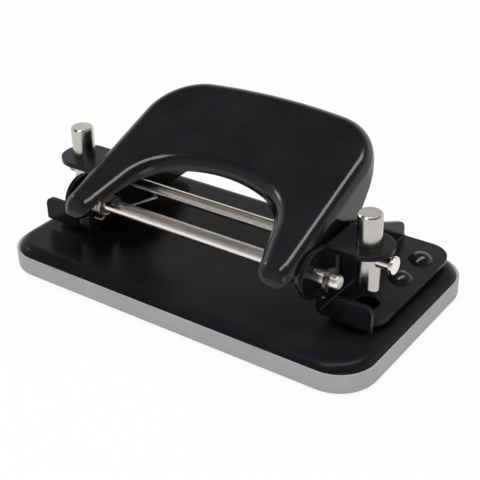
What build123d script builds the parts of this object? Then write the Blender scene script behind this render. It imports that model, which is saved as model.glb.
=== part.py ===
from build123d import *
import math
import os

os.makedirs("parts", exist_ok=True)

# Frame: millimetres, origin in the middle of the footprint, table at Z 0, front towards -Y.

# Clearances
running_gap = 0.08
shank_gap = 0.05
slot_gap = 0.25
handle_side_gap = 0.55
die_gap = 0.05
seat_gap = 0.02
spring_rest_gap = 0.15

# Punch pins
pin_spacing = 80.0
pin_y = -5.65
pin_diameter = 5.5
pin_top_z = 31.7
pin_tip_z = 13.4
pin_tip_groove = 1.8
pin_top_bevel = 0.35
punch_travel = 7.2

# Brackets, placed from the pins
bracket_sheet = 1.1
ear_setback = 7.0
ear_lug_radius = 5.6
ear_shoulder = 5.25
ear_rear_z = 12.9
ear_rear_radius = 3.0
tongue_top_z = 24.2
tongue_half_width = 5.8
tongue_reach = 5.6
foot_top_z = 9.3
foot_reach = 6.5
foot_front_y = -13.5
foot_rear_y = 25.2
foot_corner_radius = 6.0
lip_setback = 3.8
lip_reach = 6.0
lip_top_z = 14.6
lip_corner_radius = 2.0
bend_radius = 0.5

# Base plate and chip tray, which reach past the brackets' feet
base_end_margin = 3.5
base_rear_margin = 2.5
base_inset = 0.33
base_top_z = 6.6
base_sheet = 1.0
base_edge_radius = 3.0
tray_corner_radius = 9.4
tray_shoulder_z = 4.75
tray_floor = 1.2
tray_foot_radius = 0.8
locating_rim_inset = 2.6
locating_rim_wall = 1.0
locating_rim_z = 5.3

# Pressure rod and its heads
rod_z = 20.8
rod_diameter = 2.9
rod_right_reach = 5.5
rod_left_reach = 3.3
rod_head_diameter = 4.0
rod_head_thickness = 1.0

# Pivot rod and its retaining rings
lever_arm = 9.65
pivot_z = 19.0
pivot_diameter = 3.4
pivot_right_overhang = 5.8
pivot_left_overhang = 2.2
right_clip_standoff = 2.9
left_clip_standoff = 0.8
clip_thickness = 0.7
clip_diameter = 5.4
clip_groove = 0.35
clip_mouth = 2.4

# Rivets and spacers
rivet_offset = 1.4
rivet_front_y = 7.4
rivet_rear_y = 17.2
rivet_shank_diameter = 3.0
rivet_head_diameter = 5.8
rivet_head_height = 1.6
rivet_tail_diameter = 5.0
rivet_tail_height = 0.7
spacer_diameter = 4.5

# Handle
handle_sheet = 1.2
handle_slope = 0.388
handle_plane_z = 31.8
handle_length = 23.0
handle_rear_taper = 0.45
handle_rear_bow = 150.0
handle_rear_corner_radius = 14.2
handle_edge_radius = 3.0
handle_rim_depth = 4.4
nose_reach = 4.1
handle_tip_z = 19.0
tip_outer_radius = 3.0
tip_inner_radius = 4.4
handle_lug_radius = 4.2
slot_lug_wall = 1.9
flange_heel = 13.0
flange_web_reach = 14.0
flange_web_rise = 4.9
flange_toe_reach = 9.8
leg_width = 10.7
leg_splay = 0.26
arch_crown = -3.9
arch_crown_radius = 34.0
arch_corner_radius = 12.0
arch_lip_depth = 3.3
leg_lip_depth = 1.9
arch_edge_share = 0.5

# Torsion springs
spring_wire = 0.8
spring_coil_radius = 2.6
spring_setback = 6.5
spring_whole_turns = 3
spring_pitch = 0.95
spring_reach = 6.8
spring_tip_length = 1.6
spring_bend_radius = 1.3
spring_lead_radius = 1.5
anchor_z = 12.3
anchor_hole_diameter = 1.3
anchor_overhang = 0.7

# Sizes that follow from the ones above
pin_x = pin_spacing / 2
pivot_y = pin_y - lever_arm
ear_outer_x = pin_x - ear_setback
ear_inner_x = ear_outer_x - bracket_sheet
tongue_end_x = pin_x + tongue_reach
tongue_bottom_z = tongue_top_z - bracket_sheet
foot_outer_x = pin_x + foot_reach
foot_bottom_z = foot_top_z - bracket_sheet
rivet_x = pin_x + rivet_offset
tray_length = 2 * (foot_outer_x + base_end_margin)
tray_width = 2 * (foot_rear_y + base_rear_margin)
base_under_z = base_top_z - base_sheet
rod_right_x = pin_x + rod_right_reach
rod_left_x = -pin_x - rod_left_reach
right_clip_x = ear_outer_x + right_clip_standoff
left_clip_x = -ear_outer_x - left_clip_standoff - clip_thickness
handle_side_x = ear_inner_x - handle_side_gap
handle_rear_half_width = handle_side_x - handle_rear_taper
arch_half_width = handle_side_x - leg_width
spring_inner_x = handle_side_x - spring_setback


def save(part, name):
    part.label = name
    export_step(part, f"parts/{name}.step")


# ---------------------------------------------------------------- chip tray
rim_cut = locating_rim_inset + locating_rim_wall

with BuildPart() as chip_tray:
    with BuildSketch(Plane.XY.offset(0)):
        RectangleRounded(tray_length, tray_width, tray_corner_radius)
    extrude(amount=tray_shoulder_z)
    fillet(chip_tray.faces().sort_by(Axis.Z)[0].edges(), tray_foot_radius)
    with BuildSketch(Plane.XY.offset(tray_shoulder_z)):
        RectangleRounded(
            tray_length - 2 * locating_rim_inset,
            tray_width - 2 * locating_rim_inset,
            tray_corner_radius - locating_rim_inset,
        )
    extrude(amount=locating_rim_z - tray_shoulder_z)
    with BuildSketch(Plane.XY.offset(tray_floor)):
        RectangleRounded(
            tray_length - 2 * rim_cut,
            tray_width - 2 * rim_cut,
            tray_corner_radius - rim_cut,
        )
    extrude(amount=tray_shoulder_z + locating_rim_z, mode=Mode.SUBTRACT)

# --------------------------------------------------------------- base plate
base_length = tray_length - 2 * base_inset
base_width = tray_width - 2 * base_inset
base_corner_radius = tray_corner_radius - base_inset
base_blank_z = base_top_z - base_edge_radius - base_sheet
skirt_z = tray_shoulder_z + seat_gap

with BuildPart() as base_cavity:
    with BuildSketch(Plane.XY.offset(base_blank_z)):
        RectangleRounded(
            base_length - 2 * base_sheet,
            base_width - 2 * base_sheet,
            base_corner_radius - base_sheet,
        )
    extrude(amount=base_under_z - base_blank_z)
    fillet(base_cavity.faces().sort_by(Axis.Z)[-1].edges(), base_edge_radius - base_sheet)

with BuildPart() as base_plate:
    with BuildSketch(Plane.XY.offset(base_blank_z)):
        RectangleRounded(base_length, base_width, base_corner_radius)
    extrude(amount=base_top_z - base_blank_z)
    fillet(base_plate.faces().sort_by(Axis.Z)[-1].edges(), base_edge_radius)
    add(base_cavity.part, mode=Mode.SUBTRACT)
    split(bisect_by=Plane.XY.offset(skirt_z), keep=Keep.TOP)
    with BuildSketch(Plane.XY.offset(base_under_z)):
        with Locations((-pin_x, pin_y), (pin_x, pin_y)):
            Circle(pin_diameter / 2 + die_gap)
        with GridLocations(2 * rivet_x, rivet_rear_y - rivet_front_y, 2, 2):
            with Locations((0, (rivet_rear_y + rivet_front_y) / 2)):
                Circle(rivet_shank_diameter / 2 + shank_gap)
    extrude(amount=base_sheet, mode=Mode.SUBTRACT)

# ----------------------------------------------------------------- brackets
slot_radius = rod_diameter / 2 + slot_gap
slot_middle_z = rod_z - punch_travel / 2

with BuildPart() as right_bracket:
    with BuildSketch(Plane.YZ.offset(ear_inner_x)) as ear_outline:
        with BuildLine():
            Polyline(
                (pivot_y, tongue_top_z),
                (pin_y + ear_shoulder, tongue_top_z),
                (foot_rear_y, ear_rear_z),
                (foot_rear_y, foot_bottom_z),
                (foot_front_y, foot_bottom_z),
                (foot_front_y, pivot_z - ear_lug_radius),
                (pivot_y, pivot_z - ear_lug_radius),
                close=True,
            )
        make_face()
        fillet(ear_outline.vertices().group_by(Axis.X)[-1].sort_by(Axis.Y)[-1], ear_rear_radius)
        with Locations((pivot_y, pivot_z)):
            Circle(ear_lug_radius)
        with Locations((pivot_y, pivot_z)):
            Circle(pivot_diameter / 2 + shank_gap, mode=Mode.SUBTRACT)
        with Locations((pin_y, slot_middle_z)):
            SlotCenterToCenter(punch_travel, 2 * slot_radius, rotation=90, mode=Mode.SUBTRACT)
        with Locations((pivot_y + spring_coil_radius, anchor_z)):
            Circle(anchor_hole_diameter / 2, mode=Mode.SUBTRACT)
    extrude(amount=bracket_sheet)
    with BuildSketch(Plane.XY.offset(tongue_bottom_z)):
        with Locations(((ear_inner_x + tongue_end_x - tongue_half_width) / 2, pin_y)):
            Rectangle(tongue_end_x - tongue_half_width - ear_inner_x, 2 * tongue_half_width)
        with Locations((tongue_end_x - tongue_half_width, pin_y)):
            Circle(tongue_half_width)
    extrude(amount=bracket_sheet)
    with BuildSketch(Plane.XY.offset(foot_bottom_z)) as foot_outline:
        with Locations(((ear_inner_x + foot_outer_x) / 2, (foot_front_y + foot_rear_y) / 2)):
            Rectangle(foot_outer_x - ear_inner_x, foot_rear_y - foot_front_y)
        fillet(foot_outline.vertices().group_by(Axis.X)[-1], foot_corner_radius)
    extrude(amount=bracket_sheet)
    with BuildSketch(Plane.XZ.offset(-foot_front_y)) as lip_outline:
        with Locations((pin_x - lip_setback, foot_bottom_z)):
            Rectangle(lip_setback + lip_reach, lip_top_z - foot_bottom_z, align=(Align.MIN, Align.MIN))
        fillet(lip_outline.vertices().group_by(Axis.Y)[-1], lip_corner_radius)
    extrude(amount=bracket_sheet)
    with BuildSketch(Plane.XY.offset(foot_bottom_z)):
        with Locations((pin_x, pin_y)):
            Circle(pin_diameter / 2 + running_gap)
        with Locations((rivet_x, rivet_front_y), (rivet_x, rivet_rear_y)):
            Circle(rivet_shank_diameter / 2 + shank_gap)
    extrude(amount=bracket_sheet, mode=Mode.SUBTRACT)
    with BuildSketch(Plane.XY.offset(tongue_bottom_z)):
        with Locations((pin_x, pin_y)):
            Circle(pin_diameter / 2 + running_gap)
    extrude(amount=bracket_sheet, mode=Mode.SUBTRACT)

    along = right_bracket.edges().filter_by(Axis.Y)
    inner_bend = along.filter_by(
        lambda e: abs(e.center().X - ear_outer_x) < seat_gap and abs(e.center().Z - foot_top_z) < seat_gap
    )
    fillet(inner_bend, bend_radius)
    along = right_bracket.edges().filter_by(Axis.Y)
    fillet(along.group_by(Axis.Z)[0].sort_by(Axis.X)[0], bend_radius + bracket_sheet)
    across = right_bracket.edges().filter_by(Axis.X)
    fillet(across.group_by(Axis.Z)[0].sort_by(Axis.Y)[0], 2 * bend_radius)
    with BuildSketch(Plane.XZ.offset(-pin_y - tongue_half_width)):
        with Locations((ear_inner_x, tongue_top_z)):
            Rectangle(bracket_sheet, bracket_sheet, align=(Align.MIN, Align.MAX))
        with Locations((ear_inner_x + bracket_sheet, tongue_top_z - bracket_sheet)):
            Circle(bracket_sheet, mode=Mode.SUBTRACT)
    extrude(amount=2 * tongue_half_width, mode=Mode.SUBTRACT)

with BuildPart() as left_bracket:
    mirror(right_bracket.part, about=Plane.YZ)


# ------------------------------------------------------ rivets and spacers
def rivet(x, y):
    section = Plane(origin=(x, y, 0), x_dir=(1, 0, 0), z_dir=(0, -1, 0))
    shank = rivet_shank_diameter / 2
    head = rivet_head_diameter / 2
    tail = rivet_tail_diameter / 2
    dome = (head**2 + rivet_head_height**2) / (2 * rivet_head_height)
    half_turn = math.asin(head / dome) / 2
    waist_z = foot_top_z + rivet_head_height - dome + dome * math.cos(half_turn)
    waist = (dome * math.sin(half_turn), waist_z)
    with BuildPart() as body:
        with BuildSketch(section):
            with BuildLine():
                Line((0, foot_top_z + rivet_head_height), (0, base_under_z - rivet_tail_height))
                Line((0, base_under_z - rivet_tail_height), (tail, base_under_z - rivet_tail_height))
                Line((tail, base_under_z - rivet_tail_height), (tail, base_under_z))
                Line((tail, base_under_z), (shank, base_under_z))
                Line((shank, base_under_z), (shank, foot_top_z))
                Line((shank, foot_top_z), (head, foot_top_z))
                ThreePointArc((head, foot_top_z), waist, (0, foot_top_z + rivet_head_height))
            make_face()
        revolve(axis=Axis((x, y, 0), (0, 0, 1)))
    return body.part


def spacer(x, y):
    with BuildPart() as body:
        with BuildSketch(Plane.XY.offset(base_top_z)):
            with Locations((x, y)):
                Circle(spacer_diameter / 2)
                Circle(rivet_shank_diameter / 2 + shank_gap, mode=Mode.SUBTRACT)
        extrude(amount=foot_bottom_z - base_top_z)
    return body.part


# ------------------------------------------------------------- moving punch
def punch_pin(x):
    with BuildPart() as body:
        with BuildSketch(Plane.XY.offset(pin_tip_z)):
            with Locations((x, pin_y)):
                Circle(pin_diameter / 2)
        extrude(amount=pin_top_z - pin_tip_z)
        chamfer(body.faces().sort_by(Axis.Z)[-1].edges(), pin_top_bevel)
        with BuildSketch(Plane.XZ.offset(-pin_y - pin_diameter)):
            with BuildLine():
                Polyline(
                    (x - pin_diameter / 2, pin_tip_z),
                    (x, pin_tip_z + pin_tip_groove),
                    (x + pin_diameter / 2, pin_tip_z),
                    close=True,
                )
            make_face()
        extrude(amount=2 * pin_diameter, mode=Mode.SUBTRACT)
        with BuildSketch(Plane.YZ.offset(x - pin_diameter)):
            with Locations((pin_y, rod_z)):
                Circle(rod_diameter / 2 + seat_gap)
        extrude(amount=2 * pin_diameter, mode=Mode.SUBTRACT)
    return body.part


with BuildPart() as pressure_rod:
    with BuildSketch(Plane.YZ.offset(rod_left_x)):
        with Locations((pin_y, rod_z)):
            Circle(rod_diameter / 2)
    extrude(amount=rod_right_x - rod_left_x)


def rod_head(inner_x):
    with BuildPart() as body:
        with BuildSketch(Plane.YZ.offset(inner_x)):
            with Locations((pin_y, rod_z)):
                Circle(rod_head_diameter / 2)
        extrude(amount=rod_head_thickness)
        fillet(body.edges(), rod_head_thickness / 4)
    return body.part


# ---------------------------------------------------------------- pivot rod
with BuildPart() as pivot_rod:
    with BuildSketch(Plane.YZ.offset(-ear_outer_x - pivot_left_overhang)):
        with Locations((pivot_y, pivot_z)):
            Circle(pivot_diameter / 2)
    extrude(amount=2 * ear_outer_x + pivot_left_overhang + pivot_right_overhang)
    chamfer(pivot_rod.edges(), clip_groove)
    for groove_x in (left_clip_x, right_clip_x):
        with BuildSketch(Plane.YZ.offset(groove_x - seat_gap)):
            with Locations((pivot_y, pivot_z)):
                Circle(pivot_diameter)
                Circle(pivot_diameter / 2 - clip_groove, mode=Mode.SUBTRACT)
        extrude(amount=clip_thickness + 2 * seat_gap, mode=Mode.SUBTRACT)


def pivot_clip(low_x):
    with BuildPart() as body:
        with BuildSketch(Plane.YZ.offset(low_x)):
            with Locations((pivot_y, pivot_z)):
                Circle(clip_diameter / 2)
                Circle(pivot_diameter / 2 - clip_groove + seat_gap, mode=Mode.SUBTRACT)
            with Locations((pivot_y, pivot_z - clip_diameter / 2)):
                Rectangle(clip_mouth, clip_diameter, mode=Mode.SUBTRACT)
        extrude(amount=clip_thickness)
    return body.part


# ------------------------------------------------------------------- handle
slope_angle = math.degrees(math.atan(handle_slope))
slope_cos = math.cos(math.radians(slope_angle))
slope_sin = math.sin(math.radians(slope_angle))
nose_y = pivot_y - nose_reach
nose_radius = (handle_plane_z + handle_slope * nose_y - pivot_z) * slope_cos
slot_lug = slot_radius + slot_lug_wall
pivot_along = pivot_y * slope_cos + (pivot_z - handle_plane_z) * slope_sin
tip_along = (nose_y - nose_radius) * slope_cos + (handle_tip_z - handle_plane_z) * slope_sin
tip_inner_x = arch_half_width + leg_splay * (pivot_along - tip_along)
arch_edge_radius = (handle_side_x - tip_inner_x) * arch_edge_share
skin_half_width = handle_side_x - handle_edge_radius - seat_gap
form_bottom_z = pivot_z - handle_lug_radius - handle_sheet
all_across = 2 * ear_outer_x
all_deep = 3 * handle_length

skin_plane = Plane(
    origin=(0, 0, handle_plane_z),
    x_dir=(1, 0, 0),
    z_dir=(0, -slope_sin, slope_cos),
)


def on_skin(along, depth):
    return (
        along * slope_cos + depth * slope_sin,
        handle_plane_z + along * slope_sin - depth * slope_cos,
    )


def nose_point(angle, radius):
    turn = math.radians(angle)
    return (nose_y + radius * math.cos(turn), pivot_z + radius * math.sin(turn))


def plan_outline(inset):
    rear = handle_length - inset
    bow = handle_rear_bow - inset
    rear_half = handle_rear_half_width - inset
    corner_along = rear - bow + math.sqrt(bow**2 - rear_half**2)
    front = -2 * handle_length
    taper = (handle_side_x - handle_rear_half_width) / (corner_along - pivot_along)
    front_half = rear_half + taper * (corner_along - front)
    with BuildSketch(skin_plane) as outline:
        with BuildLine():
            ThreePointArc((-rear_half, corner_along), (0, rear), (rear_half, corner_along))
            Polyline(
                (rear_half, corner_along),
                (front_half, front),
                (-front_half, front),
                (-rear_half, corner_along),
            )
        make_face()
        fillet(outline.vertices().group_by(Axis.Y)[-1], handle_rear_corner_radius - inset)
    return outline.sketch


def arch_outline(grow):
    crown = arch_crown + grow
    radius = arch_crown_radius + grow
    centre = crown - radius
    middle = arch_half_width + leg_splay * pivot_along + grow * math.hypot(1, leg_splay)
    reach = middle * leg_splay + centre
    steep = 1 + leg_splay**2
    spring_line = (reach + math.sqrt(reach**2 - steep * (middle**2 + centre**2 - radius**2))) / steep
    half = middle - leg_splay * spring_line
    front = -all_deep
    front_half = middle - leg_splay * front
    with BuildSketch(skin_plane) as outline:
        with BuildLine():
            ThreePointArc((-half, spring_line), (0, crown), (half, spring_line))
            Polyline(
                (half, spring_line),
                (front_half, front),
                (-front_half, front),
                (-half, spring_line),
            )
        make_face()
        fillet(outline.vertices().group_by(Axis.Y)[-1], arch_corner_radius + grow)
    return outline.sketch


def handle_form(inset):
    """The pressed form without its sheet: inset 0 is its outside, inset handle_sheet its hollow."""
    nose = nose_radius - inset
    low_z = form_bottom_z - inset
    with BuildPart() as form:
        with BuildSketch(Plane.YZ.offset(-all_across / 2)):
            with BuildLine():
                Line(on_skin(2 * handle_length, inset), nose_point(90 + slope_angle, nose))
                ThreePointArc(
                    nose_point(90 + slope_angle, nose),
                    nose_point(135 + slope_angle / 2, nose),
                    nose_point(180, nose),
                )
                Polyline(
                    nose_point(180, nose),
                    (nose_y - nose, low_z),
                    (2 * handle_length, low_z),
                    on_skin(2 * handle_length, inset),
                )
            make_face()
        extrude(amount=all_across)
        extrude(plan_outline(inset), amount=all_deep, both=True, mode=Mode.INTERSECT)
        skin = form.faces().filter_by(skin_plane).sort_by(Axis.Z)[-1]
        nose_face = form.faces().filter_by(GeomType.CYLINDER).sort_by(Axis.Y)[0]
        nose_front = form.faces().filter_by(Axis.Y).sort_by(Axis.Y)[0]
        rolled = skin.edges() + nose_face.edges() + nose_front.edges()
        fillet(rolled.filter_by(Axis.X, reverse=True), handle_edge_radius - inset)
        extrude(arch_outline(inset), amount=all_deep, both=True, mode=Mode.SUBTRACT)
        arch_edges = form.edges().filter_by(
            lambda e: abs(e.center().X) < skin_half_width and is_outside(e @ 0.5, inset)
        )
        fillet(arch_edges, arch_edge_radius - inset)
    return form.part


def is_outside(point, inset):
    depth = (handle_plane_z + handle_slope * point.Y - point.Z) * slope_cos
    front = point.Z > form_bottom_z and abs(point.Y - nose_y + nose_radius - inset) < seat_gap
    round_nose = abs(math.hypot(point.Y - nose_y, point.Z - pivot_z) - nose_radius + inset) < seat_gap
    return abs(depth - inset) < seat_gap or front or round_nose


# The slots in the handle's flanges run straight away from the pivot.
slot_near = pin_y - pivot_y
slot_far = math.hypot(slot_near, rod_z - punch_travel - pivot_z)
slot_angle = math.degrees(math.atan2(rod_z - pivot_z, slot_near))
slot_length = slot_far - slot_near
slot_turn = math.radians(slot_angle)
slot_middle = (
    pivot_y + (slot_near + slot_far) / 2 * math.cos(slot_turn),
    pivot_z + (slot_near + slot_far) / 2 * math.sin(slot_turn),
)

with BuildPart() as handle:
    add(handle_form(0))
    add(handle_form(handle_sheet), mode=Mode.SUBTRACT)
    with BuildSketch(Plane.YZ.offset(-ear_outer_x)):
        with BuildLine():
            Polyline(
                on_skin(handle_length, handle_rim_depth),
                on_skin(flange_heel, handle_rim_depth),
                (pin_y + flange_web_reach, rod_z + flange_web_rise),
                (pin_y + flange_toe_reach, rod_z),
                (pin_y + slot_lug, rod_z - slot_lug / 2),
                (pin_y, rod_z - slot_lug),
                (pivot_y, pivot_z - handle_lug_radius),
                (pivot_y, handle_tip_z),
                (nose_y - 2 * nose_radius, handle_tip_z),
                on_skin(-handle_length, -nose_radius),
                on_skin(handle_length + handle_edge_radius, -nose_radius),
                on_skin(handle_length + handle_edge_radius, handle_rim_depth),
                close=True,
            )
        make_face()
        with Locations((pivot_y, pivot_z)):
            Circle(handle_lug_radius)
        with Locations(slot_middle):
            SlotCenterToCenter(slot_length, 2 * slot_lug, rotation=slot_angle)
    extrude(amount=all_across, mode=Mode.INTERSECT)
    with BuildSketch(Plane.YZ.offset(-ear_outer_x)):
        with Locations((pivot_y, pivot_z)):
            Circle(pivot_diameter / 2 + running_gap)
        with Locations(slot_middle):
            SlotCenterToCenter(slot_length, 2 * slot_radius, rotation=slot_angle)
    extrude(amount=all_across, mode=Mode.SUBTRACT)
    with BuildSketch(Plane.YZ.offset(-skin_half_width)):
        with BuildLine():
            Polyline(
                on_skin(-handle_length, leg_lip_depth),
                on_skin(pivot_along, leg_lip_depth),
                on_skin(pivot_along / 2, arch_lip_depth),
                on_skin(arch_edge_radius, arch_lip_depth),
                (arch_edge_radius, 0),
                (-handle_length, 0),
                close=True,
            )
        make_face()
        with Locations((nose_y, pivot_z)):
            Circle(nose_radius, mode=Mode.SUBTRACT)
            Circle(nose_radius - leg_lip_depth)
            Rectangle(2 * nose_radius, pivot_z, align=(Align.MAX, Align.MAX), mode=Mode.SUBTRACT)
            Rectangle(nose_radius - leg_lip_depth, pivot_z, align=(Align.MAX, Align.MAX))
            Rectangle(2 * nose_radius, pivot_z, align=(Align.MIN, Align.MAX))
    extrude(amount=2 * skin_half_width, mode=Mode.SUBTRACT)
    with BuildSketch(Plane.XZ.offset(-nose_y)):
        for side in (-1, 1):
            for edge_x, radius, toward in (
                (tip_inner_x, tip_inner_radius, side),
                (handle_side_x, tip_outer_radius, -side),
            ):
                with Locations((side * edge_x + toward * radius, handle_tip_z + radius)):
                    Rectangle(
                        2 * radius,
                        2 * radius,
                        align=(Align.MAX if toward > 0 else Align.MIN, Align.MAX),
                    )
                    Circle(radius, mode=Mode.SUBTRACT)
    extrude(amount=nose_radius, mode=Mode.SUBTRACT)


# ---------------------------------------------------------- torsion springs
# One leg runs straight from the coil to the underside of the pressure rod, the other is
# hooked through the ear. The coil starts where the first leg touches it.
under_rod_z = rod_z - rod_diameter / 2 - spring_wire / 2 - spring_rest_gap
leg_rise = under_rod_z - pivot_z
leg_span = math.hypot(lever_arm, leg_rise)
leg_length = math.sqrt(leg_span**2 - spring_coil_radius**2)
touch_angle = math.atan2(leg_rise, lever_arm) - math.acos(spring_coil_radius / leg_span)
spring_turns = spring_whole_turns + 1 + touch_angle / (2 * math.pi)
coil_end_x = spring_inner_x + spring_turns * spring_pitch
sideways = spring_reach - spring_lead_radius
lead_turn = math.atan2(sideways, leg_length) + math.asin(
    spring_lead_radius / math.hypot(sideways, leg_length)
)

with BuildPart() as right_torsion_spring:
    with BuildLine() as wire_path:
        from_top = Helix(
            spring_pitch,
            spring_turns * spring_pitch,
            spring_coil_radius,
            center=(spring_inner_x, pivot_y, pivot_z),
            direction=(1, 0, 0),
            lefthand=True,
            mode=Mode.PRIVATE,
        )
        coil = from_top.rotate(Axis((0, pivot_y, pivot_z), (1, 0, 0)), 270 + math.degrees(touch_angle))
        add(coil)
        outward = -(coil % 0)
        inward = (Vector(-1, 0, 0) - outward * Vector(-1, 0, 0).dot(outward)).normalized()

        def lead_point(turn):
            along = math.sin(turn) * spring_lead_radius
            aside = (1 - math.cos(turn)) * spring_lead_radius
            return (coil @ 0) + outward * along + inward * aside

        heading = outward * math.cos(lead_turn) + inward * math.sin(lead_turn)
        tip = lead_point(lead_turn) + heading * (leg_length + spring_tip_length)
        Line(tip, lead_point(lead_turn))
        ThreePointArc(lead_point(lead_turn), lead_point(lead_turn / 2), coil @ 0)
        anchor_y = pivot_y + spring_coil_radius
        Line(coil @ 1, (coil_end_x, anchor_y, anchor_z + spring_bend_radius))
        half_bend = spring_bend_radius * (1 - math.sqrt(0.5))
        ThreePointArc(
            (coil_end_x, anchor_y, anchor_z + spring_bend_radius),
            (coil_end_x + half_bend, anchor_y, anchor_z + half_bend),
            (coil_end_x + spring_bend_radius, anchor_y, anchor_z),
        )
        Line(
            (coil_end_x + spring_bend_radius, anchor_y, anchor_z),
            (ear_outer_x + anchor_overhang, anchor_y, anchor_z),
        )
    with BuildSketch(Plane(origin=tip, z_dir=heading)):
        Circle(spring_wire / 2)
    sweep(path=wire_path.wires()[0])

with BuildPart() as left_torsion_spring:
    mirror(right_torsion_spring.part, about=Plane.YZ)

pieces = {
    "chip_tray": chip_tray.part,
    "base_plate": base_plate.part,
    "left_bracket": left_bracket.part,
    "right_bracket": right_bracket.part,
    "left_front_rivet": rivet(-rivet_x, rivet_front_y),
    "left_rear_rivet": rivet(-rivet_x, rivet_rear_y),
    "right_front_rivet": rivet(rivet_x, rivet_front_y),
    "right_rear_rivet": rivet(rivet_x, rivet_rear_y),
    "left_front_spacer": spacer(-rivet_x, rivet_front_y),
    "left_rear_spacer": spacer(-rivet_x, rivet_rear_y),
    "right_front_spacer": spacer(rivet_x, rivet_front_y),
    "right_rear_spacer": spacer(rivet_x, rivet_rear_y),
    "left_punch_pin": punch_pin(-pin_x),
    "right_punch_pin": punch_pin(pin_x),
    "handle": handle.part,
    "pivot_rod": pivot_rod.part,
    "pressure_rod": pressure_rod.part,
    "left_pivot_clip": pivot_clip(left_clip_x),
    "right_pivot_clip": pivot_clip(right_clip_x),
    "left_pressure_rod_head": rod_head(rod_left_x - rod_head_thickness),
    "right_pressure_rod_head": rod_head(rod_right_x),
    "left_torsion_spring": left_torsion_spring.part,
    "right_torsion_spring": right_torsion_spring.part,
}
for name, piece in pieces.items():
    save(piece, name)
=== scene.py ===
import math

import bmesh
import bpy
from mathutils import Matrix, Vector


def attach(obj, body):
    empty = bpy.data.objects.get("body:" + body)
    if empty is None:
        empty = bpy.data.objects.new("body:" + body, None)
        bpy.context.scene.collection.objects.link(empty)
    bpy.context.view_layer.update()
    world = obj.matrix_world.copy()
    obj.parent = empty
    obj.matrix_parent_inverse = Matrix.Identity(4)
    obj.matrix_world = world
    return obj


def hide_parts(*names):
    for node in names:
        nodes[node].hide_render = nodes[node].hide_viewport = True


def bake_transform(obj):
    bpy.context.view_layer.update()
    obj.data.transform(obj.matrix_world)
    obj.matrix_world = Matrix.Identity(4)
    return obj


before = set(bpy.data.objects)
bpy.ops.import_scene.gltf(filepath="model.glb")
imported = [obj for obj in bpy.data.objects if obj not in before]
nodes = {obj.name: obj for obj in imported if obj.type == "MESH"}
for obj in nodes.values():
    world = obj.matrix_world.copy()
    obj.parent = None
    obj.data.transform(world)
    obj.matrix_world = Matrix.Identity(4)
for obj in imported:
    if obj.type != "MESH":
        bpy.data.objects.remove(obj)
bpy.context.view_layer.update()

MM = 0.001

# Camera: a long lens from the front right, a little above
CAMERA_PLACE = Vector((0.132711, -0.181305, 0.139830))
CAMERA_TURN = math.radians(35.67)
CAMERA_RISE = math.radians(30.10)
CAMERA_ROLL = math.radians(-1.27)
CAMERA_LENS = 81.56
SENSOR_WIDTH = 36.0
NEAREST_SEEN = 0.01
FARTHEST_SEEN = 20.0

# Studio: a pale room that a mirror sees darker overhead and in front, over a white floor
ROOM_LIGHT = 0.42
CEILING_SHADE = 0.10
CEILING_START = 0.30
CEILING_END = 0.78
FRONT_SHADE = 0.40
FRONT_END = -0.7
FRONT_START = 0.2
FLOOR_SIZE = 6.0
FLOOR_COLOR = (0.90, 0.90, 0.90)
FLOOR_ROUGHNESS = 0.95
FLOOR_GLOW = 0.88
FLOOR_MIRROR_GLOW = 0.45
LAMP_AIM = Vector((0.0, 0.0, 0.02))

# Colours
LACQUER_BLACK = (0.0060, 0.0048, 0.0066)
LACQUER_HAZE = (0.0125, 0.0105, 0.0140)
DUST_GREY = (0.20, 0.19, 0.18)
# Lighter edge colour: bare metal where rubbed, and also a painted highlight along the edges.
BARE_METAL_AND_HIGHLIGHT = (0.22, 0.21, 0.20)
TRAY_GREY = (0.385, 0.385, 0.395)
TRAY_PALE = (0.455, 0.455, 0.460)
# The rods' plated steel is painted lighter: painted light standing in for the brighter highlights the
# rods catch.
ROD_NICKEL_PAINTED_LIGHT = (0.90, 0.865, 0.81)
NICKEL_SHADE = (0.72, 0.68, 0.63)
# The pins' steel is painted darker than the rods' plated steel: painted shade standing in for the duller
# light on the pins.
PIN_STEEL_PAINTED_SHADE = (0.60, 0.575, 0.54)
PIN_DULL_PAINTED_SHADE = (0.42, 0.40, 0.37)
BLACKED_STEEL = (0.055, 0.055, 0.060)
BLACKED_WORN = (0.16, 0.155, 0.15)
WIRE_STEEL = (0.46, 0.44, 0.41)
WIRE_SHADE = (0.26, 0.24, 0.215)

# Shared effects: where a mask starts and where it is full
CLOUD_STRETCH = 2.5
CORNER_START = 0.02
CORNER_FULL = 0.22
RUB_START = 0.42
RUB_FULL = 0.68
FILM_START = 0.35
FILM_FULL = 0.75
FILM_LEAST = 0.25
FILM_SHARE = 0.45
SPECK_FINENESS = 14.0
SPECK_START = 0.72
SPECK_FULL = 0.80
SLOPE_START = 0.45
SLOPE_FULL = 0.95
LINE_START = 0.3
LINE_FULL = 0.7

# Finishes
LACQUER_ROUGHER = 0.06
DUST_ROUGHER = 0.8
STEEL_ROUGHER = 0.10
STEEL_SHADING = 0.28
WIRE_SHADING = 0.45
WIRE_LINE_STRETCH = 60.0
WIRE_LINE_SCALE = 6.0
HEAT_SCALE = 180.0
HEAT_START = 0.35
HEAT_FULL = 0.70

# Torsion springs, in millimetres
PIVOT_Y = -15.3
PIVOT_Z = 19.0
PIN_Y = -5.65
SPRING_INNER_X = 24.85
COIL_RADIUS = 2.6
COIL_PITCH = 0.95
COIL_TURNS = 4
WIRE_DIAMETER = 0.8
LEG_END_Z = 18.8
LEG_REACH = 6.8
LEG_TIP_LENGTH = 1.6
LEG_BEND_RADIUS = 1.5
ANCHOR_Z = 12.3
ANCHOR_BEND_RADIUS = 1.3
ANCHOR_END_X = 33.7
LEG_STEPS = 24
LEAD_STEPS = 10
TURN_STEPS = 32
ANCHOR_STEPS = 8
WIRE_SIDES = 16

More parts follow.
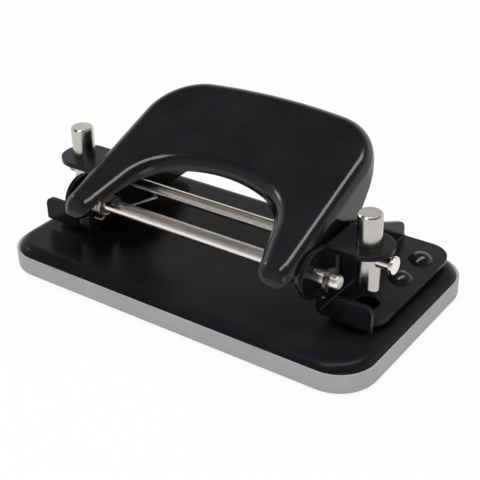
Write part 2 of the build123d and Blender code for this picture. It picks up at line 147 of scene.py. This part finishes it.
# Rivets, in millimetres
RIVET_SPACING_X = 82.8
RIVET_SPACING_Y = 9.8
RIVET_MIDDLE_Y = 12.3
RIVET_SEAT_Z = 9.3
RIVET_HEAD_RADIUS = 2.9
RIVET_HEAD_HEIGHT = 1.6
RIVET_SHANK_RADIUS = 1.5
RIVET_UNDER_Z = 5.6
RIVET_TAIL_RADIUS = 2.5
RIVET_TAIL_HEIGHT = 0.7
RIVET_EDGE = 0.14
RIVET_DOME_SHARE = 0.97
RIVET_DOME_STEPS = 12
RIVET_SIDES = 48
RIVET_WELD = 0.004
RIVET_CREASE = math.radians(40)


# ------------------------------------------------------------------ node tools
def plug(tree, socket, value):
    if isinstance(value, bpy.types.NodeSocket):
        tree.links.new(value, socket)
    elif isinstance(value, tuple) and len(value) == 3 and socket.type == "RGBA":
        socket.default_value = (*value, 1)
    else:
        socket.default_value = value


def new_node(tree, kind, inputs=None, **settings):
    node = tree.nodes.new(kind)
    for key, value in settings.items():
        setattr(node, key, value)
    for key, value in (inputs or {}).items():
        plug(tree, node.inputs[key], value)
    return node


def math_node(tree, operation, first, second=0.0, clamp=False):
    inputs = {0: first, 1: second}
    return new_node(tree, "ShaderNodeMath", inputs, operation=operation, use_clamp=clamp).outputs[0]


def vector_math(tree, operation, first, second, output="Vector"):
    node = new_node(tree, "ShaderNodeVectorMath", {0: first, 1: second}, operation=operation)
    return node.outputs[output]


def remap(tree, value, low, high, to_low=0.0, to_high=1.0):
    limits = {"Value": value, "From Min": low, "From Max": high, "To Min": to_low, "To Max": to_high}
    return new_node(tree, "ShaderNodeMapRange", limits, interpolation_type="SMOOTHSTEP").outputs["Result"]


def mix_color(tree, factor, first, second):
    return new_node(tree, "ShaderNodeMix", {0: factor, 6: first, 7: second}, data_type="RGBA").outputs[2]


def mix_value(tree, factor, first, second):
    return new_node(tree, "ShaderNodeMix", {0: factor, 2: first, 3: second}, data_type="FLOAT").outputs[0]


def noise(tree, place, scale, detail, rough):
    inputs = {"Vector": place, "Scale": scale, "Detail": detail, "Roughness": rough}
    return new_node(tree, "ShaderNodeTexNoise", inputs).outputs["Fac"]


def new_group(name, inputs, outputs):
    group = bpy.data.node_groups.new(name, "ShaderNodeTree")
    for label, value in inputs.items():
        kind = "NodeSocketVector" if isinstance(value, tuple) else "NodeSocketFloat"
        socket = group.interface.new_socket(name=label, in_out="INPUT", socket_type=kind)
        socket.default_value = value
    for label, kind in outputs.items():
        group.interface.new_socket(name=label, in_out="OUTPUT", socket_type=kind)
    return group, new_node(group, "NodeGroupInput").outputs, new_node(group, "NodeGroupOutput").inputs


def use_group(tree, group, **values):
    node = new_node(tree, "ShaderNodeGroup", node_tree=group)
    for key, value in values.items():
        plug(tree, node.inputs[key.replace("_", " ").title()], value)
    return node.outputs


# -------------------------------------------------------------- shared effects
def object_place(tree):
    return new_node(tree, "ShaderNodeTexCoord").outputs["Object"]


def scale_for(tree, size):
    """The scale of a texture whose features are size millimetres wide."""
    return math_node(tree, "DIVIDE", 1 / MM, size)


def make_cloudiness():
    """Slow patches over a surface, from 0 to 1. Patch Size is in millimetres."""
    group, given, out = new_group(
        "cloudiness", {"Patch Size": 10.0, "Contrast": 1.0}, {"Cloud": "NodeSocketFloat"}
    )
    place = object_place(group)
    scale = scale_for(group, given["Patch Size"])
    slow = noise(group, place, scale, 4.0, 0.6)
    centred = math_node(group, "SUBTRACT", slow, 0.5)
    contrast = math_node(group, "MULTIPLY", given["Contrast"], CLOUD_STRETCH)
    stretched = math_node(group, "MULTIPLY", centred, contrast)
    group.links.new(math_node(group, "ADD", stretched, 0.5, clamp=True), out["Cloud"])
    return group


def make_fine_texture():
    """Relief of a sprayed or spark-eroded surface, from 0 to 1. Grain Size is in millimetres."""
    group, given, out = new_group(
        "fine texture", {"Grain Size": 0.5, "Pits": 0.0}, {"Height": "NodeSocketFloat"}
    )
    place = object_place(group)
    scale = scale_for(group, given["Grain Size"])
    waves = noise(group, place, scale, 2.0, 0.45)
    cells = new_node(group, "ShaderNodeTexVoronoi", {"Vector": place, "Scale": scale}, feature="F1")
    pits = math_node(group, "MULTIPLY", cells.outputs["Distance"], given["Pits"])
    group.links.new(math_node(group, "ADD", waves, pits), out["Height"])
    return group


def make_edge_wear_and_highlight():
    """Softened edges, and a mask of where the finish is rubbed thin, which also paints a highlight along
    the edges. Sizes are in millimetres.
    """
    group, given, out = new_group(
        "edge wear and highlight",
        {"Edge Width": 0.3, "Patch Size": 3.0, "Amount": 0.5},
        {"Wear And Highlight": "NodeSocketFloat", "Normal": "NodeSocketVector"},
    )
    radius = math_node(group, "MULTIPLY", given["Edge Width"], MM)
    rounded = new_node(group, "ShaderNodeBevel", {"Radius": radius}, samples=6).outputs["Normal"]
    flat = new_node(group, "ShaderNodeNewGeometry").outputs["Normal"]
    turned = math_node(group, "SUBTRACT", 1.0, vector_math(group, "DOT_PRODUCT", rounded, flat, "Value"))
    edge = remap(group, turned, CORNER_START, CORNER_FULL)
    place = object_place(group)
    scale = scale_for(group, given["Patch Size"])
    patches = remap(group, noise(group, place, scale, 4.0, 0.7), RUB_START, RUB_FULL)
    rubbed = math_node(group, "MULTIPLY", edge, patches)
    group.links.new(math_node(group, "MULTIPLY", rubbed, given["Amount"], clamp=True), out["Wear And Highlight"])
    group.links.new(rounded, out["Normal"])
    return group


def make_settled_dust():
    """A mask of dust that lies on upward faces. Patch Size is in millimetres."""
    group, given, out = new_group(
        "settled dust", {"Patch Size": 6.0, "Amount": 0.1}, {"Dust": "NodeSocketFloat"}
    )
    normal = new_node(group, "ShaderNodeNewGeometry").outputs["Normal"]
    up = new_node(group, "ShaderNodeSeparateXYZ", {"Vector": normal}).outputs["Z"]
    place = object_place(group)
    scale = scale_for(group, given["Patch Size"])
    film = remap(group, noise(group, place, scale, 5.0, 0.65), FILM_START, FILM_FULL, FILM_LEAST)
    fine_scale = math_node(group, "MULTIPLY", scale, SPECK_FINENESS)
    specks = remap(group, noise(group, place, fine_scale, 1.0, 0.5), SPECK_START, SPECK_FULL)
    both = math_node(group, "MAXIMUM", math_node(group, "MULTIPLY", film, FILM_SHARE), specks)
    lying = math_node(group, "MULTIPLY", both, remap(group, up, SLOPE_START, SLOPE_FULL))
    group.links.new(math_node(group, "MULTIPLY", lying, given["Amount"], clamp=True), out["Dust"])
    return group


def make_tool_marks():
    """Fine lines left by grinding or drawing, from 0 to 1, closest together where Across is largest."""
    group, given, out = new_group(
        "tool marks", {"Across": (1.0, 1.0, 1.0), "Mark Size": 0.3}, {"Marks": "NodeSocketFloat"}
    )
    place = object_place(group)
    squeezed = vector_math(group, "MULTIPLY", place, given["Across"])
    scale = scale_for(group, given["Mark Size"])
    lines = noise(group, squeezed, scale, 3.0, 0.7)
    group.links.new(remap(group, lines, LINE_START, LINE_FULL), out["Marks"])
    return group


cloudiness = make_cloudiness()
fine_texture = make_fine_texture()
edge_wear_and_highlight = make_edge_wear_and_highlight()
settled_dust = make_settled_dust()
tool_marks = make_tool_marks()


# ------------------------------------------------------------------- materials
def new_material(name):
    material = bpy.data.materials.new(name)
    material.use_nodes = True
    tree = material.node_tree
    return material, tree, tree.nodes["Principled BSDF"]


def bump(tree, height, normal, depth):
    """Relief as deep as depth, in millimetres."""
    inputs = {"Height": height, "Normal": normal, "Distance": depth * MM, "Strength": 1.0}
    return new_node(tree, "ShaderNodeBump", inputs).outputs["Normal"]


def black_lacquer(name, gloss, satin, patch_size, dust, peel_depth, rubbing_and_highlight):
    """Stove-enamelled sheet: deep black, a little orange peel, dust on top and rubbed sheet edges that
    also paint a highlight along the edges.
    """
    material, tree, shader = new_material(name)
    cloud = use_group(tree, cloudiness, patch_size=patch_size, contrast=1.0)["Cloud"]
    peel = use_group(tree, fine_texture, grain_size=1.1, pits=0.0)["Height"]
    edge = use_group(tree, edge_wear_and_highlight, edge_width=0.28, patch_size=2.4, amount=rubbing_and_highlight)
    film = use_group(tree, settled_dust, patch_size=7.0, amount=dust)["Dust"]
    color = mix_color(tree, cloud, LACQUER_BLACK, LACQUER_HAZE)
    color = mix_color(tree, film, color, DUST_GREY)
    # Edges turn lighter and metallic: rubbed paint, and also a painted edge highlight.
    color = mix_color(tree, edge["Wear And Highlight"], color, BARE_METAL_AND_HIGHLIGHT)
    rough = mix_value(tree, cloud, satin, satin + LACQUER_ROUGHER)
    rough = math_node(tree, "ADD", rough, math_node(tree, "MULTIPLY", film, DUST_ROUGHER), clamp=True)
    plug(tree, shader.inputs["Base Color"], color)
    plug(tree, shader.inputs["Roughness"], rough)
    plug(tree, shader.inputs["Metallic"], edge["Wear And Highlight"])
    plug(tree, shader.inputs["Normal"], bump(tree, peel, edge["Normal"], peel_depth))
    shader.inputs["Specular IOR Level"].default_value = gloss
    return material


def tray_plastic(name):
    """Moulded plastic with a fine spark-eroded skin."""
    material, tree, shader = new_material(name)
    cloud = use_group(tree, cloudiness, patch_size=18.0, contrast=0.8)["Cloud"]
    skin = use_group(tree, fine_texture, grain_size=0.32, pits=0.8)["Height"]
    edge = use_group(tree, edge_wear_and_highlight, edge_width=0.3, patch_size=4.0, amount=0.35)
    film = use_group(tree, settled_dust, patch_size=9.0, amount=0.08)["Dust"]
    color = mix_color(tree, cloud, TRAY_GREY, TRAY_PALE)
    color = mix_color(tree, film, color, DUST_GREY)
    # Paler edges: rubbed plastic, and also a painted edge highlight.
    color = mix_color(tree, edge["Wear And Highlight"], color, TRAY_PALE)
    plug(tree, shader.inputs["Base Color"], color)
    plug(tree, shader.inputs["Roughness"], mix_value(tree, cloud, 0.46, 0.58))
    plug(tree, shader.inputs["Normal"], bump(tree, skin, edge["Normal"], 0.018))
    shader.inputs["Specular IOR Level"].default_value = 0.35
    return material


def nickel_steel(name, bright, dull, across, satin):
    """Plated round steel, ground or drawn, with its fine lines and a faint haze."""
    material, tree, shader = new_material(name)
    marks = use_group(tree, tool_marks, across=across, mark_size=0.5)["Marks"]
    cloud = use_group(tree, cloudiness, patch_size=5.0, contrast=1.2)["Cloud"]
    edge = use_group(tree, edge_wear_and_highlight, edge_width=0.2, patch_size=1.5, amount=0.4)
    shade = math_node(tree, "MULTIPLY", math_node(tree, "ADD", marks, cloud), STEEL_SHADING)
    color = mix_color(tree, shade, bright, dull)
    # Brighter edges: rubbed plating, and also a painted edge highlight.
    color = mix_color(tree, edge["Wear And Highlight"], color, bright)
    plug(tree, shader.inputs["Base Color"], color)
    plug(tree, shader.inputs["Roughness"], mix_value(tree, marks, satin, satin + STEEL_ROUGHER))
    plug(tree, shader.inputs["Normal"], bump(tree, marks, edge["Normal"], 0.004))
    shader.inputs["Metallic"].default_value = 1.0
    return material


def blacked_steel(name):
    """Oil-blacked spring steel and spacers, brighter where the edges are rubbed, which also paints a
    highlight along the edges.
    """
    material, tree, shader = new_material(name)
    cloud = use_group(tree, cloudiness, patch_size=2.0, contrast=1.2)["Cloud"]
    skin = use_group(tree, fine_texture, grain_size=0.25, pits=0.3)["Height"]
    edge = use_group(tree, edge_wear_and_highlight, edge_width=0.12, patch_size=1.0, amount=0.7)
    color = mix_color(tree, cloud, BLACKED_STEEL, BLACKED_WORN)
    # Lighter edges: rubbed blacking, and also a painted edge highlight.
    color = mix_color(tree, edge["Wear And Highlight"], color, NICKEL_SHADE)
    plug(tree, shader.inputs["Base Color"], color)
    plug(tree, shader.inputs["Roughness"], mix_value(tree, cloud, 0.30, 0.45))
    plug(tree, shader.inputs["Normal"], bump(tree, skin, edge["Normal"], 0.006))
    shader.inputs["Metallic"].default_value = 1.0
    return material


def spring_wire(name):
    """Drawn music wire: lines along it and darker stretches, both following the wire."""
    material, tree, shader = new_material(name)
    along = new_node(tree, "ShaderNodeAttribute", attribute_name="along_wire").outputs["Fac"]
    around = new_node(tree, "ShaderNodeAttribute", attribute_name="around_wire").outputs["Fac"]
    turned = math_node(tree, "MULTIPLY", around, 2 * math.pi)
    ring = new_node(
        tree,
        "ShaderNodeCombineXYZ",
        {
            "X": math_node(tree, "COSINE", turned),
            "Y": math_node(tree, "SINE", turned),
            "Z": math_node(tree, "MULTIPLY", along, WIRE_LINE_STRETCH),
        },
    ).outputs["Vector"]
    lines = remap(tree, noise(tree, ring, WIRE_LINE_SCALE, 3.0, 0.7), LINE_START, LINE_FULL)
    stretch = new_node(tree, "ShaderNodeCombineXYZ", {"X": along}).outputs["Vector"]
    heat = remap(tree, noise(tree, stretch, HEAT_SCALE, 2.0, 0.5), HEAT_START, HEAT_FULL)
    cloud = use_group(tree, cloudiness, patch_size=1.5, contrast=1.0)["Cloud"]
    shade = math_node(tree, "MULTIPLY", math_node(tree, "ADD", heat, lines), WIRE_SHADING, clamp=True)
    color = mix_color(tree, shade, WIRE_STEEL, WIRE_SHADE)
    plug(tree, shader.inputs["Base Color"], color)
    plug(tree, shader.inputs["Roughness"], mix_value(tree, cloud, 0.22, 0.36))
    flat = new_node(tree, "ShaderNodeNewGeometry").outputs["Normal"]
    plug(tree, shader.inputs["Normal"], bump(tree, lines, flat, 0.004))
    shader.inputs["Metallic"].default_value = 1.0
    return material


handle_lacquer = black_lacquer(
    "handle lacquer", gloss=0.42, satin=0.11, patch_size=16.0, dust=0.04, peel_depth=0.004, rubbing_and_highlight=0.35
)
base_lacquer = black_lacquer(
    "base lacquer", gloss=0.09, satin=0.20, patch_size=22.0, dust=0.05, peel_depth=0.006, rubbing_and_highlight=0.45
)
bracket_lacquer = black_lacquer(
    "bracket lacquer", gloss=0.12, satin=0.16, patch_size=9.0, dust=0.04, peel_depth=0.005, rubbing_and_highlight=0.60
)
rivet_lacquer = black_lacquer(
    "rivet lacquer", gloss=0.40, satin=0.12, patch_size=5.0, dust=0.04, peel_depth=0.004, rubbing_and_highlight=0.70
)
tray_grey = tray_plastic("tray plastic")
# The pins get a darker copy of the plated steel, as painted shade.
nickel_pin_painted_shade = nickel_steel("nickel pin painted shade", PIN_STEEL_PAINTED_SHADE, PIN_DULL_PAINTED_SHADE, across=(0.25, 0.25, 3.0), satin=0.14)
# The rods get a lighter copy of the plated steel, as painted light.
nickel_rod_painted_light = nickel_steel("nickel rod painted light", ROD_NICKEL_PAINTED_LIGHT, NICKEL_SHADE, across=(0.06, 2.0, 2.0), satin=0.18)
blacked = blacked_steel("blacked steel")
wire_steel = spring_wire("spring wire")

FINISHES = {
    "handle": handle_lacquer,
    "base_plate": base_lacquer,
    "left_bracket": bracket_lacquer,
    "right_bracket": bracket_lacquer,
    "left_front_rivet": rivet_lacquer,
    "left_rear_rivet": rivet_lacquer,
    "right_front_rivet": rivet_lacquer,
    "right_rear_rivet": rivet_lacquer,
    "chip_tray": tray_grey,
    "left_punch_pin": nickel_pin_painted_shade,
    "right_punch_pin": nickel_pin_painted_shade,
    "pivot_rod": nickel_rod_painted_light,
    "pressure_rod": nickel_rod_painted_light,
    "left_pressure_rod_head": nickel_rod_painted_light,
    "right_pressure_rod_head": nickel_rod_painted_light,
    "left_front_spacer": blacked,
    "left_rear_spacer": blacked,
    "right_front_spacer": blacked,
    "right_rear_spacer": blacked,
    "left_pivot_clip": blacked,
    "right_pivot_clip": blacked,
    "left_torsion_spring": wire_steel,
    "right_torsion_spring": wire_steel,
}
for name, finish in FINISHES.items():
    nodes[name].data.materials.clear()
    nodes[name].data.materials.append(finish)


# -------------------------------------------------------------- geometry trees
def new_geometry_tree(name, inputs):
    tree = bpy.data.node_groups.new(name, "GeometryNodeTree")
    tree.interface.new_socket(name="Geometry", in_out="INPUT", socket_type="NodeSocketGeometry")
    for label, (kind, value) in inputs.items():
        socket = tree.interface.new_socket(name=label, in_out="INPUT", socket_type=kind)
        socket.default_value = value
    tree.interface.new_socket(name="Geometry", in_out="OUTPUT", socket_type="NodeSocketGeometry")
    return tree, new_node(tree, "NodeGroupInput").outputs, new_node(tree, "NodeGroupOutput").inputs


def finish_tree(tree, geometry, material, out):
    """Makes copies real and paints them, as the last steps of a tree."""
    real = new_node(tree, "GeometryNodeRealizeInstances", {"Geometry": geometry}).outputs[0]
    painted = new_node(tree, "GeometryNodeSetMaterial", {"Geometry": real, "Material": material})
    tree.links.new(painted.outputs[0], out["Geometry"])


def run_tree(name, data, tree, values):
    """Runs a geometry tree on fresh data and returns the result as a plain mesh object."""
    start = bpy.data.objects.new(name + " start", data)
    bpy.context.scene.collection.objects.link(start)
    modifier = start.modifiers.new("build", "NODES")
    modifier.node_group = tree
    for item in tree.interface.items_tree:
        if item.item_type == "SOCKET" and item.in_out == "INPUT" and item.name in values:
            modifier[item.identifier] = values[item.name]
    bpy.context.view_layer.update()
    evaluated = start.evaluated_get(bpy.context.evaluated_depsgraph_get())
    mesh = bpy.data.meshes.new_from_object(evaluated)
    mesh.name = name
    start.modifiers.clear()
    bpy.data.objects.remove(start)
    piece = bpy.data.objects.new(name, mesh)
    bpy.context.scene.collection.objects.link(piece)
    return piece


# ------------------------------------------------------------- torsion springs
def spring_route(side):
    """The wire's middle line, from its tip under the pressure rod to its end through the ear."""
    rise = LEG_END_Z - PIVOT_Z
    arm = PIN_Y - PIVOT_Y
    span = math.hypot(arm, rise)
    leg = math.sqrt(span**2 - COIL_RADIUS**2)
    touch = math.atan2(rise, arm) - math.acos(COIL_RADIUS / span)
    turn_total = 2 * math.pi * COIL_TURNS + touch
    climb = COIL_PITCH / (2 * math.pi)

    def coil_point(turned):
        angle = touch - turned
        return Vector(
            (
                SPRING_INNER_X + climb * turned,
                PIVOT_Y + COIL_RADIUS * math.cos(angle),
                PIVOT_Z + COIL_RADIUS * math.sin(angle),
            )
        )

    outward = -Vector((climb, COIL_RADIUS * math.sin(touch), -COIL_RADIUS * math.cos(touch))).normalized()
    inward = Vector((-1, 0, 0))
    inward = (inward - outward * inward.dot(outward)).normalized()
    sideways = LEG_REACH - LEG_BEND_RADIUS
    lead = math.atan2(sideways, leg) + math.asin(LEG_BEND_RADIUS / math.hypot(sideways, leg))

    def lead_point(turned):
        along = outward * math.sin(turned) * LEG_BEND_RADIUS
        aside = inward * (1 - math.cos(turned)) * LEG_BEND_RADIUS
        return coil_point(0) + along + aside

    heading = outward * math.cos(lead) + inward * math.sin(lead)
    reach = heading * (leg + LEG_TIP_LENGTH)
    points = [lead_point(lead) + reach * (1 - step / LEG_STEPS) for step in range(LEG_STEPS)]
    points += [lead_point(lead * (1 - step / LEAD_STEPS)) for step in range(LEAD_STEPS)]
    coil_steps = TURN_STEPS * COIL_TURNS
    points += [coil_point(turn_total * step / coil_steps) for step in range(coil_steps + 1)]
    end_x = points[-1].x
    rear_y = PIVOT_Y + COIL_RADIUS
    for step in range(ANCHOR_STEPS + 1):
        angle = math.pi / 2 * step / ANCHOR_STEPS
        points.append(
            Vector(
                (
                    end_x + ANCHOR_BEND_RADIUS * (1 - math.cos(angle)),
                    rear_y,
                    ANCHOR_Z + ANCHOR_BEND_RADIUS * (1 - math.sin(angle)),
                )
            )
        )
    points.append(Vector((ANCHOR_END_X, rear_y, ANCHOR_Z)))
    return [Vector((side * point.x, point.y, point.z)) * MM for point in points]


def make_wire_tree():
    """A round wire along a curve. It notes how far along and around the wire each point is."""
    tree, given, out = new_geometry_tree(
        "round wire",
        {
            "Wire Diameter": ("NodeSocketFloat", WIRE_DIAMETER * MM),
            "Wire Sides": ("NodeSocketInt", WIRE_SIDES),
        },
    )
    passed = new_node(tree, "GeometryNodeSplineParameter")
    marked = new_node(
        tree,
        "GeometryNodeStoreNamedAttribute",
        {"Geometry": given["Geometry"], "Name": "along_wire", "Value": passed.outputs["Length"]},
        data_type="FLOAT",
        domain="POINT",
    ).outputs["Geometry"]
    radius = math_node(tree, "MULTIPLY", given["Wire Diameter"], 0.5)
    ring = new_node(
        tree,
        "GeometryNodeCurvePrimitiveCircle",
        {"Resolution": given["Wire Sides"], "Radius": radius},
        mode="RADIUS",
    ).outputs["Curve"]
    turned = new_node(tree, "GeometryNodeSplineParameter")
    ring = new_node(
        tree,
        "GeometryNodeStoreNamedAttribute",
        {"Geometry": ring, "Name": "around_wire", "Value": turned.outputs["Factor"]},
        data_type="FLOAT",
        domain="POINT",
    ).outputs["Geometry"]
    wire = new_node(
        tree, "GeometryNodeCurveToMesh", {"Curve": marked, "Profile Curve": ring, "Fill Caps": True}
    ).outputs["Mesh"]
    smooth = new_node(tree, "GeometryNodeSetShadeSmooth", {"Geometry": wire}).outputs["Geometry"]
    finish_tree(tree, smooth, wire_steel, out)
    return tree


def route_curve(name, points):
    curve = bpy.data.curves.new(name, "CURVE")
    curve.dimensions = "3D"
    spline = curve.splines.new("POLY")
    spline.points.add(len(points) - 1)
    for point, place in zip(spline.points, points):
        point.co = (*place, 1)
    return curve


wire_tree = make_wire_tree()
for label, side in (("left", -1), ("right", 1)):
    spring = run_tree(
        label + "_return_spring",
        route_curve(label + " spring route", spring_route(side)),
        wire_tree,
        {"Wire Diameter": WIRE_DIAMETER * MM, "Wire Sides": WIRE_SIDES},
    )
    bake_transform(spring)
    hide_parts(label + "_torsion_spring")


# ---------------------------------------------------------------------- rivets
def rivet_mesh():
    """One snap-head rivet, with its dome up and its closed tail below."""
    dome = (RIVET_HEAD_RADIUS**2 + RIVET_HEAD_HEIGHT**2) / (2 * RIVET_HEAD_HEIGHT)
    sweep = math.asin(RIVET_HEAD_RADIUS / dome)
    top = RIVET_SEAT_Z + RIVET_HEAD_HEIGHT
    outline = []
    for step in range(RIVET_DOME_STEPS + 1):
        angle = sweep * RIVET_DOME_SHARE * step / RIVET_DOME_STEPS
        outline.append((dome * math.sin(angle), top - dome + dome * math.cos(angle)))
    outline.append((RIVET_HEAD_RADIUS - RIVET_EDGE / 2, RIVET_SEAT_Z))
    outline.append((RIVET_SHANK_RADIUS, RIVET_SEAT_Z))
    outline.append((RIVET_SHANK_RADIUS, RIVET_UNDER_Z))
    tail_z = RIVET_UNDER_Z - RIVET_TAIL_HEIGHT
    outline.append((RIVET_TAIL_RADIUS, RIVET_UNDER_Z))
    outline.append((RIVET_TAIL_RADIUS, tail_z + RIVET_EDGE))
    outline.append((RIVET_TAIL_RADIUS - RIVET_EDGE, tail_z))
    outline.append((0, tail_z))
    form = bmesh.new()
    corners = [form.verts.new((radius * MM, 0, height * MM)) for radius, height in outline]
    edges = [form.edges.new(pair) for pair in zip(corners, corners[1:])]
    bmesh.ops.spin(
        form,
        geom=corners + edges,
        axis=(0, 0, 1),
        cent=(0, 0, 0),
        steps=RIVET_SIDES,
        angle=2 * math.pi,
    )
    bmesh.ops.remove_doubles(form, verts=form.verts, dist=RIVET_WELD * MM)
    bmesh.ops.recalc_face_normals(form, faces=form.faces)
    for face in form.faces:
        face.smooth = True
    mesh = bpy.data.meshes.new("rivet form")
    form.to_mesh(mesh)
    form.free()
    mesh.set_sharp_from_angle(angle=RIVET_CREASE)
    return mesh


def make_rivet_tree(pattern):
    """Sets one rivet at each corner of a rectangle."""
    tree, given, out = new_geometry_tree(
        "rivet corners",
        {
            "Spacing X": ("NodeSocketFloat", RIVET_SPACING_X * MM),
            "Spacing Y": ("NodeSocketFloat", RIVET_SPACING_Y * MM),
            "Middle Y": ("NodeSocketFloat", RIVET_MIDDLE_Y * MM),
        },
    )
    corners = new_node(
        tree,
        "GeometryNodeMeshGrid",
        {"Size X": given["Spacing X"], "Size Y": given["Spacing Y"], "Vertices X": 2, "Vertices Y": 2},
    ).outputs["Mesh"]
    middle = new_node(tree, "ShaderNodeCombineXYZ", {"Y": given["Middle Y"]}).outputs["Vector"]
    placed = new_node(
        tree, "GeometryNodeSetPosition", {"Geometry": corners, "Offset": middle}
    ).outputs["Geometry"]
    source = new_node(tree, "GeometryNodeObjectInfo", {"Object": pattern}).outputs["Geometry"]
    rivets = new_node(
        tree, "GeometryNodeInstanceOnPoints", {"Points": placed, "Instance": source}
    ).outputs["Instances"]
    finish_tree(tree, rivets, rivet_lacquer, out)
    return tree


pattern = bpy.data.objects.new("rivet pattern", rivet_mesh())
bpy.context.scene.collection.objects.link(pattern)
rivets = run_tree(
    "bracket_rivets",
    bpy.data.meshes.new("rivet start"),
    make_rivet_tree(pattern),
    {
        "Spacing X": RIVET_SPACING_X * MM,
        "Spacing Y": RIVET_SPACING_Y * MM,
        "Middle Y": RIVET_MIDDLE_Y * MM,
    },
)
bpy.data.objects.remove(pattern)
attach(rivets, "base")
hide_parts("left_front_rivet", "left_rear_rivet", "right_front_rivet", "right_rear_rivet")


# ----------------------------------------------------------- camera and studio
def place_camera():
    """A camera turned about the upright axis, raised, and rolled a little about its own view."""
    back = Vector(
        (
            math.sin(CAMERA_TURN) * math.cos(CAMERA_RISE),
            -math.cos(CAMERA_TURN) * math.cos(CAMERA_RISE),
            math.sin(CAMERA_RISE),
        )
    )
    right = (-back).cross(Vector((0, 0, 1))).normalized()
    up = right.cross(-back)
    rolled_right = right * math.cos(CAMERA_ROLL) + up * math.sin(CAMERA_ROLL)
    rolled_up = -right * math.sin(CAMERA_ROLL) + up * math.cos(CAMERA_ROLL)
    turn = Matrix((rolled_right, rolled_up, back)).transposed().to_4x4()
    data = bpy.data.cameras.new("camera")
    data.lens = CAMERA_LENS
    data.sensor_width = SENSOR_WIDTH
    data.sensor_fit = "HORIZONTAL"
    data.clip_start = NEAREST_SEEN
    data.clip_end = FARTHEST_SEEN
    camera = bpy.data.objects.new("camera", data)
    camera.matrix_world = Matrix.Translation(CAMERA_PLACE) @ turn
    bpy.context.scene.collection.objects.link(camera)
    bpy.context.scene.camera = camera


def ray_kinds(tree):
    """Whether a ray is seen straight or through glass, and whether it is a mirror's."""
    ray = new_node(tree, "ShaderNodeLightPath").outputs
    seen = math_node(tree, "MAXIMUM", ray["Is Camera Ray"], ray["Is Transmission Ray"])
    return seen, ray["Is Glossy Ray"]


def make_room():
    """White to the eye, plain light on the object, and shaded above and in front in a mirror."""
    world = bpy.data.worlds.new("studio")
    bpy.context.scene.world = world
    world.use_nodes = True
    tree = world.node_tree
    direction = new_node(tree, "ShaderNodeTexCoord").outputs["Generated"]
    toward = new_node(tree, "ShaderNodeSeparateXYZ", {"Vector": direction}).outputs
    overhead = remap(tree, toward["Z"], CEILING_START, CEILING_END, 1.0, CEILING_SHADE)
    in_front = remap(tree, toward["Y"], FRONT_END, FRONT_START, FRONT_SHADE, 1.0)
    mirrored = math_node(tree, "MULTIPLY", overhead, in_front)
    seen, glossy = ray_kinds(tree)
    strength = mix_value(tree, glossy, ROOM_LIGHT, mirrored)
    strength = mix_value(tree, seen, strength, 1.0)
    tree.nodes["Background"].inputs["Color"].default_value = (1, 1, 1, 1)
    plug(tree, tree.nodes["Background"].inputs["Strength"], strength)


def make_floor():
    """White to the eye but for the object's shadow."""
    form = bmesh.new()
    bmesh.ops.create_grid(form, x_segments=1, y_segments=1, size=FLOOR_SIZE / 2)
    mesh = bpy.data.meshes.new("floor")
    form.to_mesh(mesh)
    form.free()
    floor = bpy.data.objects.new("floor", mesh)
    bpy.context.scene.collection.objects.link(floor)
    material, tree, shader = new_material("floor")
    shader.inputs["Base Color"].default_value = (*FLOOR_COLOR, 1)
    shader.inputs["Roughness"].default_value = FLOOR_ROUGHNESS
    shader.inputs["Specular IOR Level"].default_value = 0.0
    glow = new_node(tree, "ShaderNodeEmission", {"Color": (1.0, 1.0, 1.0), "Strength": 1.0})
    seen, glossy = ray_kinds(tree)
    mirrored = math_node(tree, "MULTIPLY", glossy, FLOOR_MIRROR_GLOW)
    share = mix_value(tree, seen, mirrored, FLOOR_GLOW)
    both = new_node(
        tree, "ShaderNodeMixShader", {0: share, 1: shader.outputs["BSDF"], 2: glow.outputs["Emission"]}
    )
    tree.links.new(both.outputs["Shader"], tree.nodes["Material Output"].inputs["Surface"])
    mesh.materials.append(material)


def softbox(name, place, width, depth, power, turned=0.0):
    """A rectangular lamp that faces the object, turned about its own beam by so many degrees."""
    lamp = bpy.data.lights.new(name, "AREA")
    lamp.shape = "RECTANGLE"
    lamp.size = width
    lamp.size_y = depth
    lamp.energy = power
    box = bpy.data.objects.new(name, lamp)
    turn = (LAMP_AIM - Vector(place)).to_track_quat("-Z", "Y").to_matrix().to_4x4()
    turn = turn @ Matrix.Rotation(math.radians(turned), 4, "Z")
    box.matrix_world = Matrix.Translation(Vector(place)) @ turn
    bpy.context.scene.collection.objects.link(box)


place_camera()
make_room()
make_floor()
softbox("overhead_softbox", place=(0.02, -0.02, 0.64), width=0.84, depth=0.17, power=3.0, turned=20.0)
softbox("left_softbox", place=(-0.60, -0.08, 0.40), width=0.12, depth=0.12, power=0.25)
softbox("front_softbox", place=(0.75, -0.75, 0.30), width=0.45, depth=0.45, power=0.8)
bpy.context.scene.view_settings.view_transform = "Standard"
